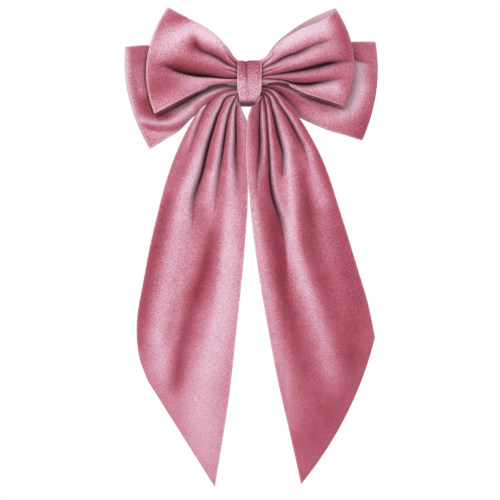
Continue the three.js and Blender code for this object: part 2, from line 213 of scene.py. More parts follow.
def cloth(name, columns, rows, drape, painted_light_facing=(0, 0, 0), lined=False, close=False,
          thickness=VELVET_THICKNESS):
    """A piece draped from a grid. drape takes a and b, from -1 to 1, and gives points in mm, their lightness
    with painted light and shade, and their painted shade.
    """
    mesh = bmesh.new()
    bmesh.ops.create_grid(mesh, x_segments=columns, y_segments=rows, size=1)
    flat = np.array([v.co[:2] for v in mesh.verts])
    points, tone, shade = drape(flat[:, 0], flat[:, 1])
    layer = mesh.verts.layers.float.new("tone")
    dark = mesh.verts.layers.float.new("shade")
    uv = mesh.loops.layers.uv.new("cloth")
    for face in mesh.faces:
        face.smooth = True
        for corner in face.loops:
            corner[uv].uv = (corner.vert.co.x / 2 + 0.5, corner.vert.co.y / 2 + 0.5)
    for vertex, point in zip(mesh.verts, points):
        vertex.co = point * MM
    mesh.normal_update()
    # Painted light: sides facing the given way are made lighter, up to a limit. The painted shade is kept
    # between 0 and 1.
    painted_light_facing = np.array(painted_light_facing)
    for vertex, value, shade_value in zip(mesh.verts, tone, shade):
        vertex[layer] = value + PAINTED_LIGHT_FACING_LIMIT * math.tanh(float(painted_light_facing @ vertex.normal) / PAINTED_LIGHT_FACING_LIMIT)
        vertex[dark] = min(max(shade_value, 0), 1)
    if close:
        bmesh.ops.remove_doubles(mesh, verts=mesh.verts, dist=SEAM_REACH * MM)
    data = bpy.data.meshes.new(name)
    mesh.to_mesh(data)
    mesh.free()
    piece = bpy.data.objects.new(name, data)
    bpy.context.scene.collection.objects.link(piece)
    wall = piece.modifiers.new("wall", "SOLIDIFY")
    wall.thickness = thickness * MM
    wall.offset = -1
    wall.use_even_offset = False
    wall.material_offset = 0 if lined else WRONG_SIDE
    area = sum(p.area for p in data.polygons)
    print(f"{name}: {len(data.polygons)} faces, {area * 1e4:.0f} cm2 of cloth")
    return piece


# %% [markdown]
# ## Loops
# A bow is one strip laid out like a belt: from the middle of the knot out along the front, round
# the fold, and back behind. Both of its long edges are drawn, for each side, from the knot to the
# corner, and the strip is spread between them. The fold keeps a small round, as thick cloth does.

# %% Belt helper
FOLD_ROUND = 0.05
FINER_AT_FOLD = 0.35
FULLEST = 0.62
CROWN = 0.28
SHEET_GAP = 0.4
BOW_GRID = (380, 110)
# The bows' upward-facing sides are painted lighter, as the light falls from above.
BOW_PAINTED_LIGHT_FACING = (0, 0, 0.45)
# Widths of the painted highlights along the bows' folded ends and long edges.
FOLD_HIGHLIGHT_WIDTH = 0.016
EDGE_HIGHLIGHT_WIDTH = 0.022


def belt(bow, a, b):
    """Places of a bow's strip. a is 0 at the middle of the front, and -1 and 1 at the middle behind."""
    s = 2 * np.abs(a) - 1
    s = s * (1 - FINER_AT_FOLD + FINER_AT_FOLD * s * s)
    across = (b + 1) / 2
    reach = np.sqrt(s * s + FOLD_ROUND ** 2)
    u = 1 - (reach - FOLD_ROUND) / (math.hypot(1, FOLD_ROUND) - FOLD_ROUND)
    back = s / reach
    half = bow["neck"] + (bow["full"] - bow["neck"]) * smooth(u / FULLEST)
    half = half - (bow["full"] - bow["end"]) * smooth((u - FULLEST) / (1 - FULLEST))
    half = half * (1 - CROWN + CROWN * 4 * across * (1 - across))
    place = np.zeros((len(a), 2))
    for side, loop in ((-1, bow["left"]), (1, bow["right"])):
        here = a * side >= 0
        behind = smooth(0.5 + 0.5 * back[here])[:, None]
        low = through(loop["low"], u[here])
        high = through(loop["high"], u[here]) * (1 - behind)
        high = high + through(loop.get("high_behind", loop["high"]), u[here]) * behind
        t = across[here][:, None]
        place[here] = low + (high - low) * t
        place[here, 0] += side * loop["swell"] * u[here] ** 2 * 4 * across[here] * (1 - across[here])
    return place, u, back, half, across


def drape_bow(bow, a, b):
    """Points of a bow, their lightness with painted light and shade, and their painted shade. Pleats press
    in from each side as far as the middle of the loop.
    """
    place, u, back, half, across = belt(bow, a, b)
    front = smooth(-back * 1.2)
    behind = smooth(back * 1.2)
    depth, shift, shade, lit = press(place, bow["folds"])
    depth_behind, shift_behind, shade_behind, lip_highlight_behind = press(place, bow["folds_behind"])
    room = half * np.abs(back) - SHEET_GAP
    inward = front * depth + behind * depth_behind
    inward = np.where(inward > 0, room * np.tanh(inward / np.maximum(room, 0.1)), inward)
    middle = bow["y"] + bow["neck_back"] * (1 - smooth(u / 0.3))
    y = middle + back * half - np.sign(back) * inward
    moved = place + shift * front[:, None] + shift_behind * behind[:, None]
    points = np.stack([moved[:, 0], y, moved[:, 1]], 1)
    # Painted light and shade: bands of lighter and darker tone, painted highlights along the folded ends
    # (stronger on the left, where the light comes from) and along the long edges, and painted highlights on
    # the folds' lips.
    painted_light_and_shade = press(place, bow["painted_light_and_shade"])[0]
    fold_highlight = np.exp(-((1 - u) / FOLD_HIGHLIGHT_WIDTH) ** 2) * (0.3 - 0.2 * np.sign(a))
    edge_highlight = np.exp(-((1 - np.abs(b)) / EDGE_HIGHLIGHT_WIDTH) ** 2) * smooth((u - 0.25) / 0.2) * 0.35
    lip_highlights = bow["lip"] * (lit * front + lip_highlight_behind * behind)
    tone = bow["tone"] + painted_light_and_shade * front + fold_highlight + edge_highlight + lip_highlights
    return points, tone, shade * front + shade_behind * behind


# %% [markdown]
# ## Front bow
# The front bow is the smaller and higher of the two. Its loops lean outwards and upwards. Its edges
# are written down as a pattern cutter's marks in mm, and its pleats as lines of (x, z, depth, width).
# Sculpting by hand would do as well, but marks can be corrected one at a time.

# %% Front bow
FRONT_LOW, FRONT_HIGH = node_box("front_bow")
front_y = (FRONT_LOW[1] + FRONT_HIGH[1]) / 2
front_bow = {
    # lip is how strong the painted highlights on the folds' lips are.
    "y": front_y, "neck_back": 1.2, "neck": 4.6, "full": 6.6, "end": 2.6, "lip": 0.16,
    "left": {
        "low": [(0, -2.4), (-9, -1.7), (-17, -1), (-26, -1.9), (-33.5, -4.5), (-48, -12), (-67.5, -22)],
        "high": [(0, 13), (-8, 15), (-16, 24.8), (-26, 34.8), (-43, 44.8), (-58.3, 53.2)],
        "swell": 10,
    },
    "right": {
        "low": [(0, -2), (9, -1), (15, -0.2), (21, 0), (29, -2.5), (37, -7), (47, -10.5), (66.5, -16.5)],
        "high": [(0, 13), (10.5, 17.5), (20.5, 28), (34.5, 36.5), (52.5, 44.5), (61, 51)],
        "high_behind": [(0, 13), (9.5, 17), (18.5, 28), (32, 39), (49.5, 48.5), (60.3, 53)],
        "swell": 9.9,
    },
    "folds": through_knot((3.2, 6.2, 9, 12), 6) + [
        valley([(-8, 9.5, 3, 1.2), (-16, 12.5, 6, 1.8), (-22, 16.5, 7, 2.4), (-28, 19.5, 6, 2.9),
                (-34, 21.5, 4.4, 3.4), (-37.5, 25, 3.6, 4), (-38.5, 28.5, 1.8, 4.5)], dark=0.65, lit=1),
        valley([(-8, 3, 3, 1.1), (-19, 4, 6, 1.8), (-28, 5.5, 8, 2.6), (-37, 6.5, 8.5, 3.4),
                (-44.5, 7.5, 6.5, 4), (-52, 9.4, 4.8, 4.8), (-58, 11.4, 3, 5.2),
                (-65, 12, 0.8, 5.6)], lean=0.3, lit=1),
        valley([(-8, 12, 2, 0.7), (-12, 14.5, 2.5, 0.9), (-16, 20, 1.2, 1.2), (-18, 25, 0.3, 1.5)], lit=1),
        valley([(-8, 6.3, 2, 0.7), (-13, 7.6, 1.6, 0.9), (-20, 9.5, 0.3, 1.4)], lit=1),
        ridge([(-9, 6.5, -0.6, 3), (-22, 9.5, -1.4, 5), (-40, 14, -1.2, 8)]),
        ridge([(-9, 1, -0.5, 2.5), (-24, 1, -1.6, 4), (-45, -3, -1.4, 7)]),
        ridge([(-20, 23, -1.4, 6), (-36, 34, -1.8, 9)]),
        valley([(8, 8.5, 3, 1.1), (16.5, 12, 6, 1.7), (25.5, 16.5, 7.5, 2.4), (34.5, 19.5, 6.5, 3),
                (43.5, 24, 4, 3.6), (51, 27, 2.6, 4), (58, 29.5, 0.6, 4)], lean=0.25, dark=0.7, lit=-1),
        valley([(8, 3.6, 3, 0.9), (19.5, 4.8, 5.5, 1.4), (28.5, 6, 7, 2), (37.5, 7.5, 8, 2.8),
                (46.5, 9.5, 8.5, 3.6), (55.5, 12, 6.5, 4.2), (64, 13.5, 3.4, 4.4), (71, 14, 0.8, 4.4)],
               lean=0.25),
        valley([(8, 1.8, 2.5, 0.8), (22.5, 0.6, 4.5, 1.5), (31.5, -2, 8, 2.2), (40.5, -2.6, 8, 2.8),
                (49.5, -1.2, 5, 3.4), (58, 0.5, 2.4, 3.6), (64, 2, 0.5, 3.8)], lean=0.25, lit=-1),
        valley([(8, 6.2, 2, 0.7), (14, 8, 1.8, 0.9), (24, 11.2, 0.3, 1.4)], lit=-1),
        valley([(8, 12, 1.8, 0.7), (13, 15.5, 2, 1), (18, 20.5, 0.3, 1.5)], lit=-1),
        ridge([(9, 6, -0.6, 2.5), (24, 10, -1.4, 4), (46, 17, -1.4, 6)]),
        ridge([(12, 3, -0.5, 1.6), (30, 2.5, -1.6, 3.4), (52, 5, -1.4, 5)]),
        ridge([(22, 24, -1.4, 6), (44, 36, -1.6, 9)]),
    ],
    "folds_behind": through_knot((0.5, 3, 5.5, 8, 10.5), 6)
    + fan(1, ((13, 42), (10.5, 32), (8, 22), (5.5, 12), (3, 3), (0.5, -6)), 7, 58)
    + fan(-1, ((13, 42), (10.5, 32), (8, 22), (5.5, 12), (3, 3), (0.5, -8)), 7, 58),
    # The velvet's base tone comes first; the bands after it are painted light and shade, as (x, z, amount,
    # width), lighter where the amount is above zero and darker where it is below.
    "tone": 0.36,
    "painted_light_and_shade": [
        ridge([(-16, 21, 0.25, 4), (-32, 33, 0.66, 6), (-50, 34, 0.56, 9), (-62, 24, 0.34, 9)]),
        ridge([(-20, 0.5, 0.1, 4), (-45, -2, 0.15, 6)]),
        ridge([(-42, 46.5, -0.2, 4), (-52, 43, -0.3, 6), (-59, 40, -0.1, 5)]),
        ridge([(-35, 21, -0.2, 4), (-39, 24.5, -0.45, 5.5), (-40.5, 29, -0.4, 6)]),
        ridge([(-28, 8, -0.05, 3), (-40, 10.5, -0.14, 4), (-52, 12.5, -0.22, 5), (-60, 9, -0.15, 6)]),
        ridge([(-20, 0, 0.1, 3), (-34, -3, 0.16, 5), (-48, -9, 0.2, 6), (-62, -18, 0.25, 7)]),
        ridge([(-64, -4, -0.15, 7), (-50, 2, -0.1, 7)]),
        ridge([(12, 16, 0.35, 5), (28, 29, 0.58, 8), (50, 39, 0.55, 9)]),
        ridge([(20, 10.5, 0.1, 3), (42, 17, 0.2, 5), (58, 22, 0.15, 6)]),
        ridge([(45, -5, 0.15, 4), (60, -6, 0.4, 6)]),
        ridge([(60, 46, -0.16, 5), (66, 34, -0.26, 5), (70, 20, -0.18, 5)]),
    ],
}
front_velvet = cloth("front_bow_velvet", *BOW_GRID, lambda a, b: drape_bow(front_bow, a, b), painted_light_facing=BOW_PAINTED_LIGHT_FACING)

# %% [markdown]
# ## Rear bow
# The rear bow is wider and lower, and hangs a little. The same helper makes it, with its own marks,
# so both bows fold alike. Two round ridges come forward under the front bow, where the cloth is
# pushed out by the gather.

# %% Rear bow
REAR_LOW, REAR_HIGH = node_box("rear_bow")
rear_y = (REAR_LOW[1] + REAR_HIGH[1]) / 2
rear_bow = {
    # lip is how strong the painted highlights on the folds' lips are.
    "y": rear_y, "neck_back": 0, "neck": 4.0, "full": 5.4, "end": 2.6, "lip": 0.16,
    "left": {
        "low": [(0, -9), (-9, -10), (-25, -14.6), (-38, -21), (-52, -33.8), (-62.5, -40.3), (-71.6, -46.2)],
        "high": [(0, 6), (-9, 7), (-40, 20), (-72, 27.9), (-89.2, 27)],
        "swell": 6.3,
    },
    "right": {
        "low": [(0, -9), (9, -11), (25, -17.4), (35.6, -23.6), (46, -28.4), (57.3, -33), (67.8, -36.2),
                (80.3, -40)],
        "high": [(0, 6), (9, 7), (40, 22), (71.7, 30.2), (89.7, 30.6)],
        "swell": 5.4,
    },
    "folds": through_knot((4, 1.2, -1.6, -4.4, -7), 6) + [
        ridge([(-9, -3, -8, 2.4), (-20, -5, -13, 3.4), (-30, -9.5, -13, 4.6), (-40, -16.5, -9, 6),
               (-54, -25, -4, 8), (-66, -34, -1, 9)]),
        hollow([(-76, -31, 0.5, 2.6), (-68, -33, 2.4, 3), (-58, -33.5, 2.4, 3.2), (-50, -31, 1.2, 3),
                (-44, -27, 0.3, 3)]),
        ridge([(-78, -25, -0.5, 2.6), (-68, -28, -1.6, 2.8), (-56, -28, -1.8, 3), (-44, -21, -1, 4)]),
        ridge([(8.5, -1.5, -8, 2), (17, -2, -12, 2.4), (24, -4.5, -12, 3.2), (31, -8.5, -10, 5),
               (40, -15, -6, 8), (52, -22, -2, 10)]),
        valley([(17, -5, 2, 1.2), (22, -7, 3.5, 1.6), (26, -10.5, 3, 1.8), (31, -15.5, 2, 2.2),
                (36, -21.5, 1, 2.5)]),
        # These three valleys run under and beside the front bow's edges, and their shade is painted shadow
        # cast by the front bow; the first also gets a painted highlight on one lip.
        valley([(-24, -1.5, 1, 1.2), (-36, -7, 3, 1.5), (-46, -12.5, 3.5, 1.6), (-56, -18, 3, 1.5),
                (-66, -23.5, 1.5, 1.3)], lit=1),
        valley([(-70, 28, 2, 1.2), (-74, 15, 3.2, 1.2), (-74.3, 0, 3.2, 1.3), (-72.6, -10, 3, 1.3),
                (-69, -22, 1.5, 1.3)]),
        valley([(36, -8.5, 1.5, 1.2), (48, -12.4, 3, 1.3), (58, -15, 3, 1.3), (66, -18, 1.5, 1.3)]),
        valley([(72, 19, 1.8, 2), (78, 16.5, 2, 2.4), (84, 15, 0.5, 3)]),
        ridge([(60, -22, -0.8, 6), (78, -16, -1.2, 7), (84, 6, -0.8, 6)]),
    ],
    "folds_behind": through_knot((4.5, 2, -0.5, -3, -5.5, -8), 6)
    + fan(1, ((4.5, 22), (2, 13), (-0.5, 4), (-3, -6), (-5.5, -16), (-8, -26)), 6, 70)
    + fan(-1, ((4.5, 20), (2, 11), (-0.5, 2), (-3, -8), (-5.5, -18), (-8, -28)), 6, 70),
    # The velvet's base tone comes first; the bands after it are painted light and shade, as (x, z, amount,
    # width).
    "tone": 0.33,
    "painted_light_and_shade": [
        ridge([(-12, -2, 0.3, 3), (-24, -5, 0.4, 4), (-34, -11, 0.4, 5), (-52, -27, 0.2, 6),
               (-68, -40, 0.3, 7)]),
        ridge([(-77, -26, 0.35, 2.2), (-66, -28.5, 0.45, 2.2), (-54, -27, 0.45, 2.4), (-42, -20, 0.3, 3)]),
        ridge([(-89, 22, 0.45, 3.2), (-88, 0, 0.5, 3.4), (-83, -20, 0.4, 3.4), (-76, -36, 0.15, 4)]),
        ridge([(-80, 10, 0.12, 4), (-77, -4, 0.2, 4)]),
        ridge([(-74, -14, -0.25, 5), (-68, -21, -0.3, 5), (-58, -24, -0.2, 4)]),
        ridge([(77, 12, 0.5, 5), (77, -6, 0.6, 6), (70, -20, 0.5, 6), (58, -25, 0.35, 5),
               (40, -19, 0.2, 5)]),
        ridge([(84, -26, -0.1, 4), (78, -38, -0.15, 4)]),
        ridge([(30, -14, 0.1, 5), (48, -28, 0.16, 5), (66, -33, 0.14, 5)]),
    ],
}
rear_velvet = cloth("rear_bow_velvet", *BOW_GRID, lambda a, b: drape_bow(rear_bow, a, b), painted_light_facing=BOW_PAINTED_LIGHT_FACING)

# %% [markdown]
# ## Tails
# The two tails are the ends of one strip whose middle is held in the knot. Each is spread between
# its outer and its inner edge, which are drawn from inside the knot down to the slanted end.

# %% Tail helper
FOLD_LOW, FOLD_HIGH = node_box("tail_fold")
tail_y = (FOLD_LOW[1] + FOLD_HIGH[1]) / 2
TAIL_GRID = (330, 130)
HELD_RADIUS = 8
CREST = 3.6
EDGE_TURN = 2.2
# Width in mm of the painted highlight along the tails' edges.
TAIL_EDGE_HIGHLIGHT_WIDTH = 0.9


def drape_tail(tail, a, b):
    """Points of a tail, their lightness with painted light and shade, and their painted shade. a runs down
    it, and b from its left edge to its right.
    """
    u = (a + 1) / 2
    u = u * (0.45 + 0.55 * u)
    v = (b + 1) / 2 if tail["side"] < 0 else (1 - b) / 2
    outer = through(tail["outer"], u)
    inner = through(tail["inner"], u)
    place = outer + (inner - outer) * v[:, None]
    place += np.array(tail["end_swell"]) * (u ** 8 * 4 * v * (1 - v))[:, None]
    depth, shift, shade, lit = press(place, tail["folds"])
    held = smooth((np.hypot(place[:, 0], place[:, 1]) - HELD_RADIUS) / 6)
    crest = -CREST * (1 - smooth(-place[:, 1] / 120))
    edge = EDGE_TURN * (1 - smooth(-place[:, 1] / 90)) * np.exp(-np.minimum(v, 1 - v) / 0.05)
    spot, spread, rise = tail["bulge"]
    rise = rise * np.exp(-((place - np.array(spot)) ** 2).sum(1) / spread ** 2)
    y = tail_y + rise + tail["front"] * smooth((v - 0.55) / 0.45) + crest + edge + held * depth
    moved = place + held[:, None] * shift
    points = np.stack([moved[:, 0], y, moved[:, 1]], 1)
    # Bands of painted light and shade, a painted highlight along both edges, and painted highlights on the
    # folds' lips.
    painted_light_and_shade = press(place, tail["painted_light_and_shade"])[0]
    reach = np.linalg.norm(inner - outer, axis=1)
    tail_edge_highlight = np.exp(-(np.minimum(v, 1 - v) * reach / TAIL_EDGE_HIGHLIGHT_WIDTH) ** 2)
    return points, tail["tone"] + painted_light_and_shade + 0.25 * tail_edge_highlight + tail["lip"] * lit, shade


# %% Left tail
left_tail = {
    # lip is how strong the painted highlights on the folds' lips are.
    "side": -1, "lip": 0.34, "bulge": ((-7, -12), 4, -3),
    "outer": [(-4, -3), (-9, -1.6), (-16, -2.4), (-24, -6.4), (-31, -13), (-37.8, -21), (-41.7, -27.4),
              (-49.2, -41.9), (-56.5, -60), (-66.4, -95.2), (-75.5, -138.6), (-80.6, -175.6),
              (-78.4, -196), (-72.9, -211)],
    "inner": [(-4, -12.5), (-8, -14), (-5.4, -19.3), (-2.6, -26), (-2, -50), (-1.4, -75.3), (-4.1, -120.5),
              (-9, -169.3), (-15, -223.5), (-25, -287)],
    "end_swell": (0, 0),
    "front": 1.0,
    "folds": [
        valley([(-9, -3.8, 2, 0.7), (-18.3, -4.8, 3, 0.9), (-26, -9.4, 3.5, 1.1), (-31.7, -16.8, 3.5, 1.4),
                (-37.4, -29, 2.8, 1.9), (-41, -39.5, 1.6, 2.6), (-45, -50, 0.3, 3)], lean=0.3, lit=-1),
        valley([(-10, -7.5, 3, 0.8), (-17, -9.2, 4.5, 1.1), (-21.3, -16.8, 6, 1.4), (-24.1, -22.5, 7, 1.7),
                (-26.9, -31, 7.5, 2.1), (-30.7, -43.2, 7.5, 2.7), (-35.4, -64, 6, 3.4),
                (-40.5, -80.8, 3.6, 4), (-42, -98.5, 0.8, 4)], lean=0.25, lit=-1),
        valley([(-9, -7, 3, 0.8), (-13.4, -14.9, 4.5, 1.1), (-17, -26.2, 6, 1.5), (-18.4, -33.8, 6.5, 1.8),
                (-19.4, -40.4, 6.5, 2.1), (-21.3, -54.6, 4.5, 2.8), (-24.1, -71.6, 2, 3.6),
                (-26, -88, 0.4, 4)], lean=0.25, lit=-1),
        valley([(-8.5, -8.4, 3, 0.8), (-10.2, -16.8, 4.5, 1.1), (-10.9, -29, 6, 1.7), (-10.8, -38.5, 6, 2.3),
                (-11, -50, 4.5, 3.2), (-10.5, -64, 2.2, 4), (-10, -80, 0.4, 5)], lean=0.2, lit=-1),
        hollow([(-22, -84, 0.2, 6), (-27, -106, 1.2, 7), (-33.5, -129, 2.6, 8), (-39, -146.5, 2.6, 9),
                (-49, -182, 1.8, 10), (-53, -217.5, 0.4, 11)]),
        ridge([(-38, -50, -1.5, 6), (-50, -83, -2.4, 8), (-60, -130, -2.6, 10), (-70, -182, -1.5, 11)]),
        ridge([(-25.5, -50, -0.6, 4), (-30, -80, -1.5, 6), (-28, -120, -0.8, 9)]),
        ridge([(-15, -55, -0.6, 4.5), (-18, -100, -2.2, 7), (-24, -150, -2.2, 9), (-38, -205, -1.2, 11)]),
    ],
    # The left tail's tone is lighter than the right tail's, as the light falls from the left; the bands
    # after it are painted light and shade.
    "tone": 0.46,
    "painted_light_and_shade": [
        ridge([(-35.5, -47.5, 0.15, 3.5), (-42.5, -65, 0.22, 4), (-49, -83, 0.2, 5), (-55, -111, 0.16, 6),
               (-62, -146, 0.16, 6), (-66, -182, 0.2, 7), (-62, -205, 0.18, 9)]),
        ridge([(-28.5, -65, 0.2, 3.5), (-32, -83, 0.2, 5)]),
        ridge([(-14, -65, 0.15, 4), (-16, -111, 0.24, 8), (-18, -146, 0.25, 11), (-26, -182, 0.26, 15),
               (-36, -217, 0.26, 17), (-32, -250, 0.24, 15), (-27, -275, 0.1, 10)]),
        ridge([(-26, -96, -0.08, 5), (-28.5, -111, -0.22, 6), (-33.5, -129, -0.34, 7), (-39, -146, -0.38, 7),
               (-46, -170, -0.3, 6), (-50, -190, -0.32, 6), (-52.5, -211, -0.38, 6), (-53, -222, -0.1, 6)]),
        ridge([(-54, -158, -0.1, 3), (-60, -185, -0.1, 3)]),
        ridge([(-58, -82, -0.15, 4), (-66, -112, -0.2, 5), (-75, -150, -0.2, 5), (-79, -185, -0.12, 5)]),
    ],
}
# The left tail's sides that face right are painted lighter.
left_velvet = cloth("left_tail_velvet", *TAIL_GRID, lambda a, b: drape_tail(left_tail, a, b),
                    painted_light_facing=(0.75, 0, 0), lined=True)

# %% Right tail
right_tail = {
    # lip is how strong the painted highlights on the folds' lips are.
    "side": 1, "lip": 0.34, "bulge": ((5.5, -12.5), 5, -8.5),
    "outer": [(4, -3), (9, -2.4), (13, -3), (18.2, -5.4), (23, -9.8), (27.6, -14.9), (35.4, -25),
              (43, -37.3), (51.2, -53.6), (63.7, -89.8), (76.5, -131.4), (84.2, -157.5), (88.9, -180.5)],
    "inner": [(4, -9), (6.6, -10.2), (4.4, -13.4), (1.6, -16.6), (-0.8, -22), (-2.8, -39.2),
              (-2.2, -62.6), (0.7, -93.4), (6, -134.1), (11.5, -166.6), (20.5, -214.5),
              (28.8, -250.7), (36.3, -284.6)],
    "end_swell": (5.9, -3),
    "front": -1.6,
    "folds": [
        valley([(8, -9.2, 3, 0.8), (7.6, -21.5, 5, 1.2), (7.6, -31, 6.5, 1.7), (7.8, -38.5, 6.5, 2.2),
                (7.3, -50.8, 4.5, 3), (6, -64, 2, 4), (5, -80, 0.3, 5)], lean=-0.2, lit=1),
        valley([(8.7, -6.4, 3, 0.7), (10.8, -12, 4, 0.9), (12, -18.4, 4.5, 1), (13, -31, 5, 1.1),
                (14, -45, 5.5, 1.3), (14.7, -59.3, 6, 1.6), (15.2, -68.7, 6.5, 2), (17.5, -82, 6.5, 2.6),
                (22, -96, 3.6, 3.4), (25, -110, 1.4, 4.5), (27, -128, 0.3, 6)], lean=-0.2, lit=1),
        valley([(10, -6.5, 3, 0.8), (14, -10.1, 4, 1), (15.8, -15.8, 5.5, 1.3), (17.7, -22.5, 7, 1.7),
                (20.1, -32.8, 7.5, 2.2), (22, -40.4, 7, 2.7), (23.9, -48, 5, 3.2), (24, -64, 2, 4)],
               lean=-0.2, lit=1),
        valley([(9, -4.2, 3, 0.7), (15.4, -6.4, 3.5, 0.9), (22, -15.8, 5, 1.1), (26.7, -22.5, 6, 1.4),
                (31.4, -31, 6, 1.7), (35.2, -38.5, 4.5, 2), (39, -46, 2, 2.6), (43, -60, 0.4, 4)],
               lean=-0.2, lit=1),
        ridge([(6, -90, -1.6, 6), (12, -140, -1.2, 8)]),
        ridge([(26, -45, -0.6, 4), (30, -75, -2.2, 6), (37, -120, -2.4, 9), (52, -165, -1.8, 11),
               (64, -200, -1, 12)]),
        ridge([(45, -52, -1, 5), (56, -85, -1.4, 8)]),
        hollow([(39, -70, 0.6, 5), (43, -83, 1.2, 6), (48, -111.5, 1.2, 8), (60, -146.5, 0.8, 9),
                (71, -182, 0.3, 10)]),
        hollow([(22, -98, 0.6, 5), (25, -116, 1, 7), (27, -146, 1, 8), (34, -182, 0.5, 9)]),
    ],
    # The right tail's tone is darker than the left tail's, as the light falls from the left; the bands after
    # it are painted light and shade.
    "tone": 0.3,
    "painted_light_and_shade": [
        ridge([(25, -33.5, 0.1, 3.5), (25.5, -47.5, 0.3, 4), (30, -65, 0.42, 4.5), (31, -83, 0.4, 5),
               (30, -111, 0.34, 6), (41, -147, 0.3, 6.5), (51, -176, 0.24, 7), (60, -214, 0.14, 8)]),
        ridge([(41, -47.5, 0.2, 3.5), (46, -65, 0.25, 4.5), (51, -83, 0.15, 6)]),
        ridge([(-1, -30, 0.1, 4), (1, -65, 0.3, 5), (4, -100, 0.3, 6), (8, -120, 0.34, 6),
               (14, -160, 0.36, 7), (23, -205, 0.28, 8), (31, -243, 0.12, 8)]),
        ridge([(39, -65, -0.12, 4), (43, -83, -0.18, 5), (47, -104, -0.08, 6), (50, -118, -0.02, 6)]),
        ridge([(17, -95, -0.12, 4), (21, -118, -0.22, 5), (25, -146, -0.22, 6), (32, -176, -0.15, 7),
               (40, -205, -0.08, 8)]),
        ridge([(62, -95, -0.06, 6), (67, -120, -0.14, 8), (74, -150, -0.18, 9), (72, -200, -0.12, 10),
               (50, -250, -0.08, 12)]),
    ],
}
# The right tail's sides that face left are painted lighter.
right_velvet = cloth("right_tail_velvet", *TAIL_GRID, lambda a, b: drape_tail(right_tail, a, b),
                     painted_light_facing=(-0.75, 0, 0), lined=True)

# %% [markdown]
# ## The fold between the tails
# Inside the knot, the middle of the tails' strip is drawn up into a thick bundle of small pleats.
# It could be carved as a lump, but a grid rolled round into a pleated purse shows real cloth where
# the eye can look in between the bows. Its waist is narrower, because the thread bites there.

# %% Fold in the knot
BUNDLE_HALF = np.array([7.2, 3.4, 14.4])
BUNDLE_MIDDLE = np.array([-0.3, tail_y + 0.7, -0.2])
BUNDLE_WAIST = 0.84
BUNDLE_PLEATS = 15
BUNDLE_SQUARING = 0.9
PLEAT_HEIGHT = 0.55


def drape_bundle(a, b):
    """Points of the bundle. a runs round it, and b along it from the left to the right."""
    turn = a * math.pi
    purse = np.sqrt(np.maximum(1 - b ** 8, 0))
    waist = 1 - (1 - BUNDLE_WAIST) * np.exp(-(b / 0.3) ** 2)
    pleat = PLEAT_HEIGHT * np.cos(BUNDLE_PLEATS * turn + 0.5 * np.sin(3 * turn) + 0.8 * b)
    squareness = np.maximum(np.abs(np.cos(turn)), np.abs(np.sin(turn))) ** -0.5
    y = (BUNDLE_HALF[1] * squareness * waist * np.cos(turn) + pleat * np.cos(turn)) * purse
    z = (BUNDLE_HALF[2] * squareness * BUNDLE_SQUARING * waist * np.sin(turn) + pleat * np.sin(turn)) * purse
    y = y + 0.5 * (1 - np.exp(-(b / 0.4) ** 2))
    x = BUNDLE_HALF[0] * b
    points = BUNDLE_MIDDLE + np.stack([x, y, z], 1)
    # Painted light on the pleats' crests and painted shade in their hollows.
    return points, 0.55 + 0.2 * pleat / PLEAT_HEIGHT, 0.12 - 0.12 * pleat / PLEAT_HEIGHT


fold_velvet = cloth("tail_fold_velvet", 300, 40, drape_bundle, lined=True, close=True, thickness=0.8)
outward = sum((p.center / MM - Vector(BUNDLE_MIDDLE)).dot(p.normal) for p in fold_velvet.data.polygons)
print("the fold's faces point", "outwards" if outward > 0 else "inwards")

# %% [markdown]
# ## Knot
# The knot is a folded band of the same velvet, wrapped round the gathered middles and the base
# plate, with its ends lapped behind. It is drawn in at the bottom, and creased down its middle.

# %% Knot band
KNOT_LOW, KNOT_HIGH = node_box("knot_band")
KNOT_CORNER = 5
KNOT_THICKNESS = 0.9
KNOT_FRONT = -20
CREASE_PLACE = -2.3
CREASE_SLANT = 1.2


def rounded_path(y0, y1, z0, z1, radius, steps=6):
    """Points round a rectangle with round corners, from the middle of the back and all the way round."""
    middle = (z0 + z1) / 2
    points = [(y1, middle)]
    corners = ((y1 - radius, z1 - radius, 0), (y0 + radius, z1 - radius, 90),
               (y0 + radius, z0 + radius, 180), (y1 - radius, z0 + radius, 270))
    for y, z, start in corners:
        for i in range(steps + 1):
            turn = math.radians(start + 90 * i / steps)
            points.append((y + radius * math.cos(turn), z + radius * math.sin(turn)))
    points.append((y1, middle))
    return points


def drape_knot(a, b):
    """Points of the knot, their lightness with painted light and shade, and their painted shade. a runs
    round it from the middle of its back, and b across it.
    """
    marks = rounded_path(KNOT_LOW[1], KNOT_HIGH[1], KNOT_LOW[2], KNOT_HIGH[2], KNOT_CORNER)
    path = through(marks, (a + 1) / 2)
    y, z = path[:, 0], path[:, 1]
    up = (z - KNOT_LOW[2]) / (KNOT_HIGH[2] - KNOT_LOW[2])
    front = smooth((KNOT_FRONT - y) / 15)
    left = KNOT_LOW[0] + front * (1.5 * (1 - smooth(up / 0.4)) - 0.6 * 4 * up * (1 - up))
    right = KNOT_HIGH[0] + front * (0.6 * up - 4.4 * (1 - smooth(up / 0.32)))
    x = left + (right - left) * (b + 1) / 2
    crease = np.exp(-np.abs(x - CREASE_PLACE - CREASE_SLANT * (0.5 - up)))
    pull = np.exp(-((1 - np.abs(b)) / 0.1) ** 2)
    y = y + front * (1.3 * crease * (0.35 + 0.65 * up) - 1.2 * (1 - b * b) - 0.2 + 0.4 * pull)
    # The front is darker towards the top, and has painted highlights along both edges of the band. Painted
    # shade lies along the crease and along the bottom, where the band turns under.
    tone = 0.66 - 0.4 * smooth((up - 0.4) / 0.45) * front + 0.4 * pull
    under = 0.6 * (1 - smooth(up / 0.13)) * front
    z = z - 0.9 * crease * smooth((up - 0.8) / 0.2) * front
    return np.stack([x, y, z], 1), tone, 0.5 * crease * front * up + under


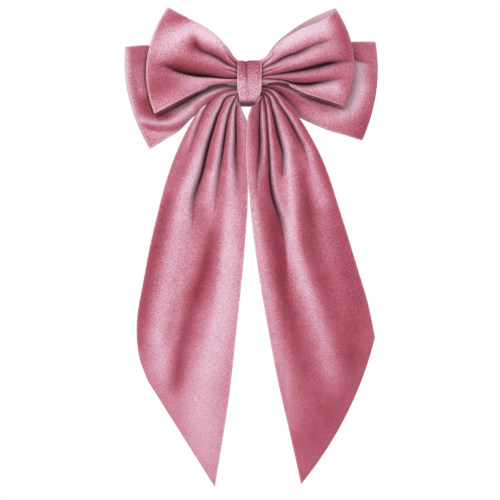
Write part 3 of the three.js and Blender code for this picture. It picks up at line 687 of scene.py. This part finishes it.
knot_velvet = cloth("knot_band_velvet", 220, 60, drape_knot, lined=True, close=True,
                    thickness=KNOT_THICKNESS)

# %% [markdown]
# ## Felt pad
# A strip of felt lies between the velvet and the clip, and bows with the base plate. It is a grid
# bent to the plate's own radius, with its corners rounded and a little wander in its thickness.

# %% Felt pad
PAD_LOW, PAD_HIGH = node_box("backing_pad")
PLATE_RADIUS = 130
FELT_THICKNESS = 1.1


def drape_pad(a, b):
    """Points of the pad. a runs along it and b across it."""
    half_length = (PAD_HIGH[0] - PAD_LOW[0]) / 2
    half_width = (PAD_HIGH[2] - PAD_LOW[2]) / 2
    x = a * half_length
    to_end = (1 - np.abs(a)) * half_length
    corner = np.minimum(to_end / half_width, 1)
    z = b * half_width * np.sqrt(np.maximum(1 - (1 - corner) ** 2, 0.3))
    wander = 0.06 * np.sin(x * 1.9 + z * 1.3) * np.sin(z * 2.3 - x * 0.7)
    y = PAD_LOW[1] + 0.05 + PLATE_RADIUS - np.sqrt(PLATE_RADIUS ** 2 - x ** 2) + wander
    return np.stack([x, y, z], 1), np.zeros(len(a)), np.zeros(len(a))


felt_pad = cloth("felt_pad", 120, 20, drape_pad, lined=True, thickness=FELT_THICKNESS)

# %% [markdown]
# ## Threads
# The gathers are wound with a few turns of thread inside the knot, and two stitches hold the pad to
# the plate through its sewing holes. Each is a real coil: a curve of one spline with a round bevel.

# %% Thread coils
THREAD_RADIUS = 0.3
STEPS_IN_TURN = 20
COIL_BEND = 1.2


def coil(name, turns, spread, half_y, half_z, centre, bend=COIL_BEND):
    """A wound thread round a flat bundle. spread is how far along X its turns lie."""
    data = bpy.data.curves.new(name, "CURVE")
    data.dimensions = "3D"
    data.bevel_depth = THREAD_RADIUS * MM
    data.bevel_resolution = 3
    data.use_fill_caps = True
    count = turns * STEPS_IN_TURN + 1
    spline = data.splines.new("POLY")
    spline.points.add(count - 1)
    for i, point in enumerate(spline.points):
        turn = i / STEPS_IN_TURN * 2 * math.pi
        squareness = max(abs(math.cos(turn)), abs(math.sin(turn))) ** (-1 / bend)
        y = centre[1] + half_y * math.cos(turn) * squareness
        z = centre[2] + half_z * math.sin(turn) * squareness
        x = centre[0] + spread * (i / (count - 1) - 0.5)
        point.co = (x * MM, y * MM, z * MM, 1)
    thread = bpy.data.objects.new(name, data)
    bpy.context.scene.collection.objects.link(thread)
    print(f"{name}: {turns} turns")
    return thread


def coil_on(node, name, turns, spread):
    """A coil in the place of a CAD thread."""
    low, high = node_box(node)
    middle = (low + high) / 2
    half = (high - low) / 2 - THREAD_RADIUS
    return coil(name, turns, spread, half[1] / COIL_BEND, half[2] / COIL_BEND, middle)


THREADS = {
    "front_gather_thread": coil_on("front_gather_thread", "front_gather_coil", 5, 3.2),
    "rear_gather_thread": coil_on("rear_gather_thread", "rear_gather_coil", 5, 3.2),
    "tail_gather_thread": coil("tail_gather_coil", 5, 3.2, BUNDLE_HALF[1] * BUNDLE_WAIST + PLEAT_HEIGHT,
                               BUNDLE_HALF[2] * BUNDLE_SQUARING * BUNDLE_WAIST + PLEAT_HEIGHT,
                               BUNDLE_MIDDLE),
    "stitch_left": coil_on("stitch_left", "stitch_coil_left", 3, 0.9),
    "stitch_right": coil_on("stitch_right", "stitch_coil_right", 3, 0.9),
}

# %% [markdown]
# ## Materials
# A finish is built from nodes, and dozens of calls to join them would hide what it does. A small
# class wraps a node's output, so that shader maths reads like ordinary arithmetic, and one function
# adds any other node.

# %% Shader arithmetic
def add_node(tree, kind, settings, sockets, out=0):
    """A node of a kind: its settings first, then the values or links of its sockets, by name or number."""
    node = tree.nodes.new(kind)
    for key, value in settings.items():
        if key == "stops":
            marks = node.color_ramp.elements
            marks[1].position, marks[1].color = value[-1]
            marks[0].position, marks[0].color = value[0]
            for place, colour in value[1:-1]:
                marks.new(place).color = colour
        else:
            setattr(node, key, value)
    for key, value in sockets.items():
        if isinstance(value, Socket):
            tree.links.new(value.socket, node.inputs[key])
        else:
            node.inputs[key].default_value = value
    return Socket(tree, node.outputs[out])


class Socket:
    """An output socket that can be added, multiplied and so on."""

    def __init__(self, tree, socket):
        self.tree = tree
        self.socket = socket

    def math(self, operation, first, second, clamp=False):
        settings = {"operation": operation, "use_clamp": clamp}
        return add_node(self.tree, "ShaderNodeMath", settings, {0: first, 1: second})

    def __add__(self, other):
        return self.math("ADD", self, other)

    def __radd__(self, other):
        return self.math("ADD", other, self)

    def __sub__(self, other):
        return self.math("SUBTRACT", self, other)

    def __rsub__(self, other):
        return self.math("SUBTRACT", other, self)

    def __mul__(self, other):
        return self.math("MULTIPLY", self, other)

    def __rmul__(self, other):
        return self.math("MULTIPLY", other, self)

    def clamp(self):
        """The value kept between 0 and 1."""
        return self.math("ADD", self, 0.0, clamp=True)


class Finish:
    """A material and its nodes."""

    def __init__(self, name):
        self.material = bpy.data.materials.new(name)
        self.material.use_nodes = True
        self.tree = self.material.node_tree
        self.tree.nodes.clear()
        output = self.tree.nodes.new("ShaderNodeOutputMaterial")
        self.shader = self.tree.nodes.new("ShaderNodeBsdfPrincipled")
        self.tree.links.new(self.shader.outputs[0], output.inputs[0])

    def node(self, kind, settings=None, out=0, **sockets):
        """A node with its sockets by name, an underscore standing for a space."""
        named = {key.replace("_", " "): value for key, value in sockets.items()}
        return add_node(self.tree, kind, settings or {}, named, out)

    def place(self):
        """Where a point is on the object, in metres."""
        return self.node("ShaderNodeTexCoord", out=3)

    def noise(self, place, scale, detail, **sockets):
        return self.node("ShaderNodeTexNoise", Vector=place, Scale=scale, Detail=detail, **sockets)

    def mix(self, factor, first, second):
        """The first colour where the factor is 0, the second where it is 1."""
        sockets = {0: factor, 6: first, 7: second}
        return add_node(self.tree, "ShaderNodeMix", {"data_type": "RGBA"}, sockets, out=2)

    def set(self, **sockets):
        """Values or links for the shader's own sockets."""
        for key, value in sockets.items():
            slot = self.shader.inputs[key.replace("_", " ")]
            if isinstance(value, Socket):
                self.tree.links.new(value.socket, slot)
            else:
                slot.default_value = value


def srgb(red, green, blue):
    """A colour as a dyer's chart gives it, from 0 to 255, as the linear colour that a shader uses."""
    def linear(c):
        c = c / 255
        return c / 12.92 if c <= 0.04045 else ((c + 0.055) / 1.055) ** 2.4
    return (linear(red), linear(green), linear(blue), 1)


# %% [markdown]
# ## Velvet
# The cloth carries a tone with painted light and shade in it, and the painted shade of its folds,
# which mixes the colour towards a deep maroon. Fine noise breaks both up into flecks of pile, fewer
# towards the tails' smooth ends. Hair particles would be truer close up, but an exported model loses
# them.

# %% Velvet
def velvet(name, fleck):
    """Rose velvet. fleck is how strongly the pile is speckled."""
    finish = Finish(name)
    place = finish.place()
    height = finish.node("ShaderNodeSeparateXYZ", out=2, Vector=place)
    rough = ((height + 0.25) * 9).clamp() * 0.6 + 0.4
    tone = finish.node("ShaderNodeAttribute", {"attribute_name": "tone"}, out=2)
    shade_value = finish.node("ShaderNodeAttribute", {"attribute_name": "shade"}, out=2)
    cloud = finish.noise(place, 70.0, 2.0)
    pile = finish.noise(place, 1500.0, 2.0, Roughness=0.8)
    # The tone brings painted light and shade; the cloud and the flecks are the velvet's own.
    light = (tone + (cloud - 0.5) * 0.2 + (pile - 0.5) * (0.9 + tone * 1.3) * rough * fleck).clamp()
    stops = ((0.0, srgb(140, 52, 70)), (0.35, srgb(188, 100, 119)),
             (0.7, srgb(216, 160, 181)), (1.0, srgb(234, 206, 220)))
    colour = add_node(finish.tree, "ShaderNodeValToRGB", {"stops": stops}, {0: light})
    # Painted shade: the folds' shade mixes the colour towards deep maroon.
    colour = finish.mix((shade_value * 1.5).clamp(), colour, srgb(54, 6, 20))
    bump = finish.node("ShaderNodeBump", Strength=1.0, Distance=0.0008, Height=pile)
    finish.set(Base_Color=colour, Roughness=0.9, Normal=bump)
    finish.set(Sheen_Weight=0.35, Sheen_Roughness=0.35, Sheen_Tint=srgb(255, 170, 192))
    finish.set(Specular_IOR_Level=0.15)
    print(f"{name}: {len(finish.tree.nodes)} nodes")
    return finish.material


VELVET = velvet("rose_velvet", 1.0)
KNOT_VELVET = velvet("rose_velvet_knot", 1.8)

# %% [markdown]
# ## Wrong side of the velvet
# Inside the loops the back of the cloth shows: a matt knit, greyer than the pile.

# %% Wrong side
def wrong_side():
    finish = Finish("velvet_wrong_side")
    place = finish.place()
    cloud = finish.noise(place, 60.0, 2.0)
    knit = finish.noise(place, 1700.0, 1.0)
    colour = finish.mix((cloud * 0.6 + knit * 0.5).clamp(), srgb(176, 128, 138), srgb(214, 178, 186))
    bump = finish.node("ShaderNodeBump", Strength=0.4, Distance=0.0003, Height=knit)
    finish.set(Base_Color=colour, Roughness=0.95, Normal=bump)
    finish.set(Specular_IOR_Level=0.1)
    print(f"velvet_wrong_side: {len(finish.tree.nodes)} nodes")
    return finish.material


INSIDE = wrong_side()

# %% [markdown]
# ## Steel
# The clip is nickel-plated steel with a satin face, and its sprung parts are a little brighter. A
# mirror would be simpler, but plating like this has a haze that varies, and a very fine grain.

# %% Steel
def steel(name, colour, roughness):
    finish = Finish(name)
    place = finish.place()
    grain = finish.noise(place, 2600.0, 3.0)
    haze = finish.noise(place, 160.0, 3.0)
    bump = finish.node("ShaderNodeBump", Strength=0.12, Distance=0.00005, Height=grain)
    finish.set(Base_Color=finish.mix(haze, srgb(*colour), srgb(*[c * 0.86 for c in colour])))
    finish.set(Roughness=roughness + haze * 0.18, Metallic=1.0, Normal=bump)
    print(f"{name}: {len(finish.tree.nodes)} nodes")
    return finish.material


CLIP_STEEL = steel("clip_steel", (205, 206, 210), 0.22)
SPRING_STEEL = steel("spring_steel", (190, 193, 198), 0.16)

# %% [markdown]
# ## Felt and thread
# Felt is a mat of crossing fibres, so its noise is distorted. Thread is twisted, so a slanting wave
# gives it light and dark turns and a matching bump.

# %% Felt and thread
def felt():
    finish = Finish("pale_felt")
    place = finish.place()
    fibre = finish.noise(place, 900.0, 5.0, Distortion=2.0)
    cloud = finish.noise(place, 90.0, 2.0)
    colour = finish.mix((fibre * 0.8 + cloud * 0.4 - 0.1).clamp(), srgb(176, 96, 114), srgb(222, 160, 176))
    bump = finish.node("ShaderNodeBump", Strength=0.8, Distance=0.0005, Height=fibre)
    finish.set(Base_Color=colour, Roughness=0.95, Normal=bump)
    finish.set(Sheen_Weight=0.3, Specular_IOR_Level=0.1)
    print(f"pale_felt: {len(finish.tree.nodes)} nodes")
    return finish.material


def thread():
    finish = Finish("sewing_thread")
    wave = finish.node("ShaderNodeTexWave", {"bands_direction": "DIAGONAL"}, Vector=finish.place(),
                       Scale=900.0, Distortion=1.5)
    twist = finish.node("ShaderNodeRGBToBW", Color=wave)
    bump = finish.node("ShaderNodeBump", Strength=0.6, Distance=0.0001, Height=twist)
    finish.set(Base_Color=finish.mix(twist, srgb(150, 70, 88), srgb(206, 132, 150)), Normal=bump)
    finish.set(Roughness=0.5, Sheen_Weight=0.2)
    print(f"sewing_thread: {len(finish.tree.nodes)} nodes")
    return finish.material


FELT = felt()
THREAD = thread()

# %% [markdown]
# ## Dress the pieces
# Each piece gets its finish, and the CAD node that it stands for is hidden. All but the tails are
# joined to the bow's body, which they move with; the tails' placing is baked into their own meshes.

# %% Dress the felt and the threads
felt_pad.data.materials.append(FELT)
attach(felt_pad, "bow")
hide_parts("backing_pad")
for node, piece in THREADS.items():
    piece.data.materials.append(THREAD)
    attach(piece, "bow")
    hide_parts(node)

# %% Dress the velvet
for piece in (front_velvet, rear_velvet, left_velvet, right_velvet, fold_velvet, knot_velvet):
    piece.data.materials.append(KNOT_VELVET if piece is knot_velvet else VELVET)
    piece.data.materials.append(INSIDE)

for piece, node in ((front_velvet, "front_bow"), (rear_velvet, "rear_bow"), (knot_velvet, "knot_band"),
                    (fold_velvet, "tail_fold")):
    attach(piece, "bow")
    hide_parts(node)
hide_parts("tail_left")
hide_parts("tail_right")
for piece, tail in ((left_velvet, "left_tail"), (right_velvet, "right_tail")):
    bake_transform(piece)

# %% [markdown]
# ## Dress the steel
# The CAD parts keep their shape. Real pressed steel has no knife edges, so a weld and a very small
# bevel ease them. Each part's look comes from one of the two steels.

# %% Dress the steel
STEEL_EDGE = 0.08
WELD_REACH = 0.005
EDGE_ANGLE = 40
CLIP_PARTS = {
    "base_plate": CLIP_STEEL, "hinge_pin": CLIP_STEEL, "clasp_arm": CLIP_STEEL, "catch_rivet": CLIP_STEEL,
    "tension_bar": SPRING_STEEL, "catch_plate": SPRING_STEEL, "latch_prong_upper": SPRING_STEEL,
    "latch_prong_lower": SPRING_STEEL,
}
for name, metal in CLIP_PARTS.items():
    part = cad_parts[name]
    part.data.materials.clear()
    part.data.materials.append(metal)
    part.modifiers.new("weld", "WELD").merge_threshold = WELD_REACH * MM
    edge = part.modifiers.new("edge", "BEVEL")
    edge.width = STEEL_EDGE * MM
    edge.segments = 2
    edge.limit_method = "ANGLE"
    edge.angle_limit = math.radians(EDGE_ANGLE)
    print(f"{name}: {metal.name}, edges eased by {STEEL_EDGE} mm")

# %% [markdown]
# ## Camera
# The bow is looked at straight from the front, from a good way off, as small goods are. A long lens
# keeps its proportions true. The view is as wide as the number below, at the bow's own distance.

# %% Camera
VIEW_WIDTH = 354.3
CAMERA_DISTANCE = 1600
CAMERA_HEIGHT = -118.4
BOW_FRONT = -35
SENSOR_WIDTH = 36
camera_data = bpy.data.cameras.new("camera")
camera_data.sensor_width = SENSOR_WIDTH
camera_data.lens = SENSOR_WIDTH * CAMERA_DISTANCE / VIEW_WIDTH
camera_data.clip_end = 50
camera = bpy.data.objects.new("camera", camera_data)
camera.location = (0, (BOW_FRONT - CAMERA_DISTANCE) * MM, CAMERA_HEIGHT * MM)
camera.rotation_euler = (math.radians(90), 0, 0)
bpy.context.scene.collection.objects.link(camera)
bpy.context.scene.camera = camera
bpy.context.scene.view_settings.view_transform = "Standard"
print(f"camera: {camera_data.lens:.0f} mm lens at {CAMERA_DISTANCE} mm")

# %% [markdown]
# ## Light
# Velvet needs broad, soft light from near the eye, or its folds go black. The key is a little above,
# a weaker fill comes from the right, and a third light is for the back. The world is plain white,
# and gives less light than it shows, so that the backdrop stays clean.

# %% Light
AIM = Vector((0, 0, -0.1))
WHITE = (1, 1, 1, 1)
WORLD_LIGHT = 0.4


def area_light(name, place, size, power):
    """A square soft light that faces the object. Places and sizes are in metres, power in watts."""
    data = bpy.data.lights.new(name, "AREA")
    data.size = size
    data.energy = power
    light = bpy.data.objects.new(name, data)
    light.location = place
    light.rotation_euler = (AIM - Vector(place)).to_track_quat("-Z", "Y").to_euler()
    bpy.context.scene.collection.objects.link(light)
    print(f"{name}: {power} W")


area_light("key", (-0.4, -1.6, 0.45), 0.6, 18.5)
area_light("fill", (1.0, -1.2, 0.2), 0.9, 4)
area_light("behind", (0.5, 1.4, 0.7), 0.9, 14)

world = bpy.data.worlds.new("studio")
world.use_nodes = True
tree = world.node_tree
tree.nodes.clear()
glow = add_node(tree, "ShaderNodeBackground", {}, {0: WHITE, 1: WORLD_LIGHT})
backdrop = add_node(tree, "ShaderNodeBackground", {}, {0: WHITE, 1: 1.0})
seen = add_node(tree, "ShaderNodeLightPath", {}, {})
sky = add_node(tree, "ShaderNodeMixShader", {}, {0: seen, 1: glow, 2: backdrop})
tree.links.new(sky.socket, tree.nodes.new("ShaderNodeOutputWorld").inputs[0])
bpy.context.scene.world = world

# %% [markdown]
# ## Floor
# A pale floor lies well below the tails' tips. It is only a stage, and isn't part of the object.

# %% Floor
FLOOR_HALF = 1.4
FLOOR_HEIGHT = -0.5
mesh = bmesh.new()
bmesh.ops.create_grid(mesh, x_segments=2, y_segments=2, size=FLOOR_HALF)
data = bpy.data.meshes.new("floor")
mesh.to_mesh(data)
mesh.free()
floor = bpy.data.objects.new("floor", data)
floor.location = (0, 0, FLOOR_HEIGHT)
bpy.context.scene.collection.objects.link(floor)
pale = Finish("floor_pale")
mottle = pale.noise(pale.place(), 6.0, 3.0)
pale.set(Base_Color=pale.mix(mottle, srgb(240, 240, 240), srgb(246, 246, 246)), Roughness=0.9)
floor.data.materials.append(pale.material)
